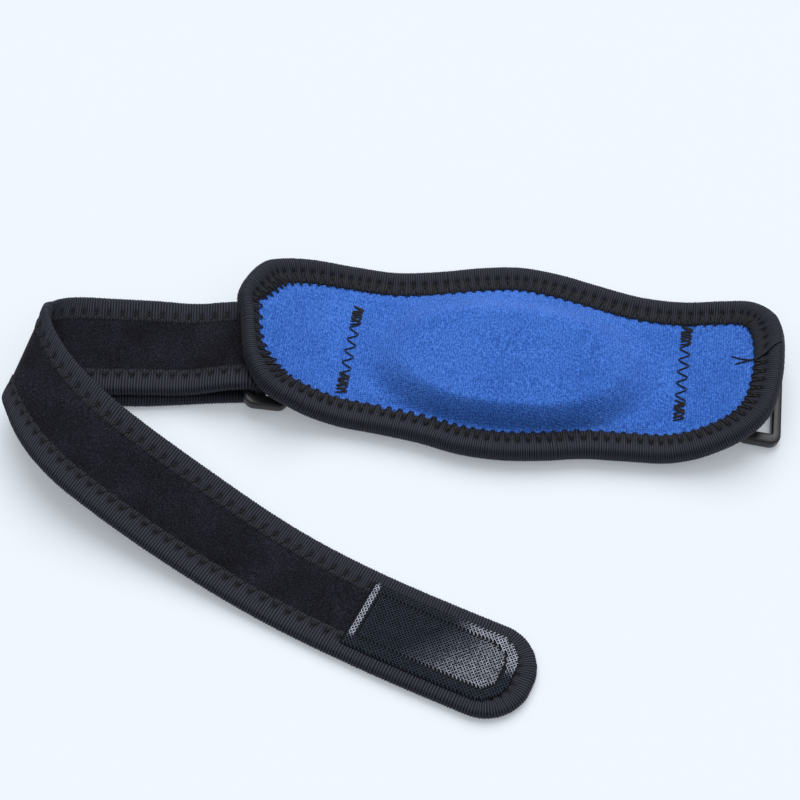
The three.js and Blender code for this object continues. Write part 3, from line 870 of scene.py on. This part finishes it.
def zigzag_threads(tape, top, stitch, pitch, length, place, ground, side):
    """Paths of the slanted threads that hold a tape down, with ends that dive into the cloth."""
    paths = []
    share = np.linspace(0, 1, ZIGZAG.points)
    dive = np.where((share == 0) | (share == 1), ZIGZAG.dive, 0.0)
    inward = stitch.outer + (tape.cover + stitch.beyond - stitch.outer) * share
    on_tape = tape_top(tape, top, inward)
    for step in range(math.floor(length / pitch)):
        for direction in (1, -1):
            station = (step + 0.5) * pitch - direction * (1 - share) * pitch / 2
            height = np.where(inward < tape.cover - ZIGZAG.tape_edge, on_tape, ground(station, inward))
            height = np.convolve(np.pad(height, 1, mode="edge"), ZIGZAG.soften, "valid")
            paths.append(place(station, inward, side * (height + stitch.thread * ZIGZAG.raised + dive)))
    return paths


*pad_tape, pad_painted_light = bound_edge(
    PAD_TAPE, PAD_TAPE_TOP, PAD_STITCH, PAD_PITCH,
    PAD_JOIN.at - pad_line.length - PAD_JOIN.overlap, PAD_JOIN.at,
    on_pad_tape, seed=3, join=PAD_JOIN,
)
make_piece("pad_binding_tape", *pad_tape, TAPE, "binding_tape", ["pad_binding"], pad_painted_light)


def pad_ground(station, inward):
    return face_height(*pad_edge(station, tape_reach(station, inward)).T)


pad_threads = []
for side, ground in ((1, pad_ground), (-1, lambda station, inward: CLEAR / 2 + PAD.layer)):
    pad_threads += zigzag_threads(
        PAD_TAPE, PAD_TAPE_TOP, PAD_STITCH, PAD_PITCH, pad_line.length, on_pad_tape, ground, side,
    )
make_piece("pad_binding_stitches", *tubes(pad_threads, PAD_STITCH.thread), THREAD, "binding_tape")

*strap_tape, strap_painted_light = bound_edge(
    STRAP_TAPE, STRAP_TAPE_TOP, STRAP_STITCH, STRAP_STITCH.pitch, 0, strap_line.length,
    on_strap_tape, seed=5,
)
strap_binding = make_piece(
    "strap_binding_tape", *strap_tape, TAPE, "binding_tape", ["strap_binding"], strap_painted_light,
)


# Strap cloth

def strap_cloth_height(across, half):
    share = smoothstep(half - np.abs(across), *STRAP_CLOTH.rise)
    return STRAP_CLOTH.edge + (STRAP_CLOTH.middle - STRAP_CLOTH.edge) * share


def strap_cloth():
    along = np.linspace(STRAP_CLOTH.start, strap_end - STRAP_CLOTH.from_tip, STRAP_CLOTH.rows)[:, None]
    corner = np.maximum(0, along - (strap_end - STRAP.tip_corner))
    cut = STRAP.tip_corner - np.sqrt(STRAP.tip_corner**2 - corner**2)
    half = strap_half_width(along) - cut - STRAP.inset
    across = half * np.linspace(-1, 1, STRAP_CLOTH.columns)
    height = strap_cloth_height(across, half)
    upper = strap_point(along, across, height)
    lower = strap_point(along, across[:, ::-1], -height[:, ::-1])
    rows = np.concatenate([upper, lower], 1)
    return rows.reshape(-1, 3), band_faces(*rows.shape[:2])


strap = make_piece("strap_cloth", *strap_cloth(), BLACK, "black_cloth", ["strap"])

strap_threads = []
for side in (1, -1):
    strap_threads += zigzag_threads(
        STRAP_TAPE, STRAP_TAPE_TOP, STRAP_STITCH, STRAP_STITCH.pitch, strap_line.length,
        on_strap_tape, lambda station, inward: STRAP_CLOTH.middle, side,
    )
strap_stitches = make_piece(
    "strap_binding_stitches", *tubes(strap_threads, STRAP_STITCH.thread), THREAD, "binding_tape",
)


# Hook patch

HOOK_START = strap_end - HOOK.from_tip - HOOK.long
HOOK_END = strap_end - HOOK.from_tip


def hook_half(along):
    corner = np.clip(along - (HOOK_END - HOOK.corner), 0, HOOK.corner)
    return HOOK.wide / 2 - HOOK.corner + np.sqrt(HOOK.corner**2 - corner**2)


def hook_plate():
    along = np.concatenate([
        np.linspace(HOOK_START, HOOK_END - HOOK.corner, HOOK_PLATE.rows)[:-1],
        HOOK_END - HOOK.corner + HOOK.corner * np.sin(np.linspace(0, math.pi / 2, HOOK_PLATE.tip_rows)),
    ])[:, None]
    across = hook_half(along) * np.linspace(-1, 1, HOOK_PLATE.columns)
    top = strap_point(along, across, np.full_like(across, -HOOK.top))
    under = strap_point(along, across[:, ::-1], np.full_like(across, -HOOK.under))
    rows = np.concatenate([top, under], 1)
    return rows.reshape(-1, 3), band_faces(*rows.shape[:2])


def hook_inset(along, across):
    """Distance of a spot on the hook patch from the patch's edge, less than zero outside."""
    straight = np.minimum(along - HOOK_START, HOOK.wide / 2 - np.abs(across))
    beyond = along - (HOOK_END - HOOK.corner)
    aside = np.abs(across) - (HOOK.wide / 2 - HOOK.corner)
    rounded = HOOK.corner - np.hypot(np.maximum(beyond, 0), np.maximum(aside, 0))
    inset = np.minimum(straight, HOOK_END - along)
    return np.where((beyond > 0) & (aside > 0), np.minimum(inset, rounded), inset)


def hook_painted_shine(along, across):
    """Painted shine of a hook, a reflection painted into its colour: on the cut edge, the field towards
    the tip and the border's far side.
    """
    painted_shine = HOOK_PAINTED_SHINE
    past = along - HOOK_START
    inset = hook_inset(along, across)
    cut_edge = (1 - smoothstep(past, *painted_shine.cut)) * smoothstep(across, *painted_shine.cut_across)
    slanted = past - painted_shine.slant * (across - painted_shine.slant_from)
    field = painted_shine.field_bright * smoothstep(slanted, *painted_shine.field) * (inset > HOOK_SEAM)
    border = painted_shine.border_bright * smoothstep(past, *painted_shine.border) * (inset < HOOK_SEAM)
    border = border * smoothstep(across, *painted_shine.border_across)
    return np.maximum(np.maximum(cut_edge, field), np.maximum(border, painted_shine.least))


def hook_loops():
    """Hooks that lean two ways from each spot of a staggered grid, and the painted shine of each."""
    loop = HOOK_LOOP
    paths, painted_light_values = [], []
    rng = np.random.default_rng(8)
    share = np.linspace(0, 1, loop.points)
    for row, along in enumerate(np.arange(HOOK_START + loop.first, HOOK_END - loop.last, HOOK.row)):
        for across in np.arange(-HOOK.wide / 2, HOOK.wide / 2, HOOK.pitch) + (row % 2) * HOOK.pitch / 2:
            inset = hook_inset(along, across)
            if inset < loop.edge or abs(inset - HOOK_SEAM) < loop.seam:
                continue
            for lean in (-1, 1):
                tall = HOOK.tall * rng.uniform(loop.shortest, loop.tallest)
                height = HOOK.top + tall * (loop.foot + (1 - loop.foot) * np.sin(math.pi * share))
                aside = across + lean * HOOK.pitch / 2 * share
                paths.append(strap_point(along + HOOK.row * share, aside, -height))
                painted_light_values.append(float(hook_painted_shine(along, across)) * rng.uniform(loop.dullest, loop.brightest))
    points, faces = tubes(paths, loop.thread, loop.sides)
    return points, faces, np.repeat(painted_light_values, len(points) // len(paths))


def hook_seam():
    """Straight stitches along the hook patch's sides and round its tip, inside its edge."""
    stitch = HOOK_STITCH
    start = HOOK_START + stitch.start
    corner = HOOK.corner - HOOK_SEAM
    half = HOOK.wide / 2 - HOOK_SEAM
    shoulder = HOOK_END - HOOK.corner
    line = Line(np.vstack([
        [(start, -half)],
        arc((shoulder, -half + corner), corner, -90, 0, 8),
        arc((shoulder, half - corner), corner, 0, 90, 8),
        [(start, half)],
    ]))
    pitch = line.length / round(line.length / stitch.pitch)
    share = np.linspace(0, 1, 6)
    along_stitch = (stitch.gap + (1 - 2 * stitch.gap) * share) * pitch
    height = HOOK.top + stitch.raised - stitch.dive * ((share == 0) | (share == 1))
    paths = []
    for first in np.arange(0, line.length - 0.5 * pitch, pitch):
        spot = line.read(line.points, first + along_stitch)
        paths.append(strap_point(spot[:, 0], spot[:, 1], -height))
    return tubes(paths, stitch.thread)


plate = hook_plate()
*loops, loop_painted_shine = hook_loops()
# The plate beneath the hooks gets no painted shine and takes the ramp's darkest colour.
patch_painted_shine = np.concatenate([np.zeros(len(plate[0])), loop_painted_shine])
hook_patch = make_piece(
    "hook_patch", *joined([plate, loops]), HOOKS, "hook_plastic", ["hook_tab"], patch_painted_shine,
)
hook_stitches = make_piece("hook_patch_stitches", *hook_seam(), THREAD, "black_cloth")


# Rings and their webbing loops

def at_seam(seam, out, across, up):
    way = heading(seam.heading)
    x = seam.x + way[0] * out - way[1] * across
    y = seam.y + way[1] * out + way[0] * across
    return np.stack(np.broadcast_arrays(x, y, up), -1)


def ring_mesh(seam, outer_up):
    reach, span = (RING.long - RING.bar) / 2, (RING.wide - RING.side) / 2
    bend = RING.bend
    middle = np.vstack([
        arc((x * (reach - bend), y * (span - bend)), bend, start, start + 90, 10)
        for x, y, start in ((1, 1, 0), (-1, 1, 90), (-1, -1, 180), (1, -1, 270))
    ])
    way = unit(np.roll(middle, -1, 0) - np.roll(middle, 1, 0))
    out = np.stack([way[:, 1], -way[:, 0]], -1)
    turn = np.linspace(0, 2 * math.pi, 24, endpoint=False)
    section = np.stack([np.cos(turn), np.sin(turn)], -1)
    section = np.sign(section) * np.abs(section) ** RING.roundness * (1, RING.thick / 2)
    half = (RING.bar + (RING.side - RING.bar) * way[:, 0] ** 2) / 2
    plan = middle[:, None] + out[:, None] * section[:, :1] * half[:, None, None]
    up = np.broadcast_to(section[:, 1], plan.shape[:2])
    tilt = math.asin((outer_up - INNER_BAR_UP) / BAR_SPACING)
    along = TAB.inner_bar + BAR_SPACING / 2 * math.cos(tilt)
    raised = (INNER_BAR_UP + outer_up) / 2
    x = along + plan[..., 0] * math.cos(tilt) - up * math.sin(tilt)
    z = raised + plan[..., 0] * math.sin(tilt) + up * math.cos(tilt)
    points = at_seam(seam, x, plan[..., 1], z).reshape(-1, 3)
    return points, grid_faces(len(middle), len(turn), ring_rows=True, ring_columns=True).tolist()


def tab_mesh(seam):
    lower = TAB.thick / 2
    upper = lower + TAB.thick + CLEAR / 2
    top = INNER_BAR_UP + TAB.turn
    path = Line(np.vstack([
        np.linspace((-TAB.seam_in, upper), (TAB.seam_out, upper), 12)[:-1],
        bezier(
            (TAB.seam_out, upper),
            (TAB.seam_out + TAB.leave, upper),
            (TAB.inner_bar - TAB.arrive, top),
            (TAB.inner_bar, top),
            30,
        )[:-1],
        arc((TAB.inner_bar, INNER_BAR_UP), TAB.turn, 90, -90, 24)[:-1],
        np.linspace((TAB.inner_bar, lower), (-TAB.seam_in, lower), 40),
    ]))
    spot, way = path.at(np.linspace(0, path.length, TAB_MESH.rows))
    normal = np.stack([-way[:, 1], way[:, 0]], -1) * TAB.thick / 2
    across = np.linspace(-1, 1, TAB_MESH.columns) * TAB.wide / 2
    sides = []
    for sign, spread in ((1, across), (-1, across[::-1])):
        rows = spot + sign * normal
        sides.append(at_seam(seam, rows[:, :1], spread, rows[:, 1:]))
    points = np.concatenate(sides, 1)
    return points.reshape(-1, 3), band_faces(*points.shape[:2])


for label, seam, outer_up in (("left", LEFT_SEAM, LEFT_BAR_UP), ("right", RIGHT_SEAM, RIGHT_BAR_UP)):
    make_piece(
        f"ring_{label}_moulded", *ring_mesh(seam, outer_up), PLASTIC, "ring_plastic", [f"ring_{label}"],
    )
    make_piece(f"tab_{label}_webbing", *tab_mesh(seam), WEBBING, "webbing", [f"tab_{label}"])


# Stitching of the tabs, seen on the pad's face

def seam_threads():
    paths = []
    share = np.linspace(0, 1, 6)
    dive = np.where((share == 0) | (share == 1), SEAM_STITCH.dive, SEAM_STITCH.middle)
    for start, end in np.array(TAB_SEAMS):
        way = unit(end - start)
        aside = np.array([way[1], -way[0]]) * SEAM_STITCH.width / 2
        length = np.linalg.norm(end - start)
        rows = [np.arange(0, length + 0.1, SEAM_STITCH.pitch)]
        for tack in (0, length - SEAM_STITCH.tack):
            rows += [np.arange(tack, tack + SEAM_STITCH.tack, pitch) for pitch in TACK_PITCHES]
        for row in rows:
            for step, (first, second) in enumerate(zip(row, row[1:])):
                swing = aside if step % 2 else -aside
                a, b = start + way * first - swing, start + way * second + swing
                plan = a + (b - a) * share[:, None]
                x, y = plan.T
                height = face_height(x, y) + foot_height(x, y) - seam_dip(x, y)
                height = height + SEAM_STITCH.thread * SEAM_STITCH.raised + dive
                paths.append(pad_point(x, y, height))
    return tubes(paths, SEAM_STITCH.thread)


make_piece("tab_stitches", *seam_threads(), THREAD, "webbing")

LOOSE_LIFT = 0.25
LOOSE_ENDS = [
    # x and y of a thread's start, bend and end
    ((89.6, 5.2), (86, 4.7), (81.2, 7.5)),
    ((89.6, 5.2), (86.2, 4.5), (82.7, 3.5)),
]


def loose_threads():
    share = np.linspace(0, 1, 9)[:, None]
    paths = []
    for start, bend, end in np.array(LOOSE_ENDS):
        x, y = (start * (1 - share) ** 2 + 2 * bend * share * (1 - share) + end * share**2).T
        paths.append(pad_point(x, y, face_height(x, y) + foot_height(x, y) + LOOSE_LIFT))
    return tubes(paths, SEAM_STITCH.thread)


make_piece("tape_thread_ends", *loose_threads(), THREAD, "binding_tape")


# Swellings of the near edge

def swellings():
    parts = []
    tilts = np.radians(np.linspace(4, 176, 8))
    turns = np.radians(np.arange(0, 360, 30))
    tilt, turn = np.meshgrid(tilts, turns, indexing="ij")
    for step in range(round(pad_line.length / PAD_PITCH)):
        middle = pad_edge(step * PAD_PITCH, PAD_TAPE.cover)
        if middle[1] > 0 or not SWELL.left < middle[0] < SWELL.right:
            continue
        size = 1 - SWELL.fade * smoothstep(middle[0], SWELL.left, SWELL.right)
        station = step * PAD_PITCH + SWELL.long * size * np.sin(tilt) * np.cos(turn)
        inward = PAD_TAPE.cover + SWELL.inward + SWELL.wide * size * np.sin(tilt) * np.sin(turn)
        height = tape_top(PAD_TAPE, PAD_TAPE_TOP, PAD_TAPE.cover) + SWELL.tall * size * np.cos(tilt)
        points = on_pad_tape(station, inward, height).reshape(-1, 3)
        parts.append((points, tube_faces(*tilt.shape)))
    return joined(parts)


make_piece("pad_face_swellings", *swellings(), BLUE, "pad_cloth")

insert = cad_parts["pressure_insert"]
insert.data.materials.clear()
insert.data.materials.append(FOAM)


# Floor, light and camera

# The floor glows a little though it is no lamp: painted light that lifts the shadows cast on it, with its
# own colour darkened to 0.74 to keep its brightness.
FLOOR = Sizes(reach=4.0, drop=0.0001, pale=(0.86, 0.915, 0.985), shade=0.74, glow=0.28)
mesh = bpy.data.meshes.new("floor")
corners = [(x * FLOOR.reach, y * FLOOR.reach, 0) for x, y in ((-1, -1), (1, -1), (1, 1), (-1, 1))]
mesh.from_pydata(corners, [], [(0, 1, 2, 3)])
pale_floor = Finish(
    "pale_floor", base=(*(FLOOR.shade * part for part in FLOOR.pale), 1), roughness=0.9, specular=0.1,
    glow=FLOOR.glow, glow_colour=(*FLOOR.pale, 1),
)
mesh.materials.append(pale_floor.material)
floor = bpy.data.objects.new("floor", mesh)
scene.collection.objects.link(floor)
floor.location.z = -FLOOR.drop

world = bpy.data.worlds.new("studio")
world.use_nodes = True
background = world.node_tree.nodes["Background"]
background.inputs["Color"].default_value = (0.97, 0.985, 1.0, 1)
background.inputs["Strength"].default_value = 0.12
scene.world = world

LIGHTS = [
    # name, strength, spread in degrees, direction it comes from
    ("key", 1.9, 50, (0.0, 0.58, 0.81)),
    ("overhead", 1.24, 110, (0.08, 0.16, 0.98)),
]
for label, strength, spread, direction in LIGHTS:
    sun = bpy.data.lights.new(label, "SUN")
    sun.energy = strength
    sun.angle = math.radians(spread)
    light = bpy.data.objects.new(label, sun)
    light.rotation_euler = Vector(direction).to_track_quat("Z", "Y").to_euler()
    scene.collection.objects.link(light)

lens = bpy.data.cameras.new("camera")
lens.lens = CAMERA.lens
lens.sensor_width = CAMERA.sensor
camera = bpy.data.objects.new("camera", lens)
elevation, yaw = math.radians(CAMERA.elevation), math.radians(CAMERA.yaw)
ahead = Vector((
    math.cos(elevation) * math.sin(yaw),
    math.cos(elevation) * math.cos(yaw),
    -math.sin(elevation),
))
camera.rotation_euler = ahead.to_track_quat("-Z", "Y").to_euler()
camera.location = (np.array(CAMERA.place) + ORIGIN) * MM
scene.collection.objects.link(camera)
scene.camera = camera
scene.view_settings.view_transform = "Standard"
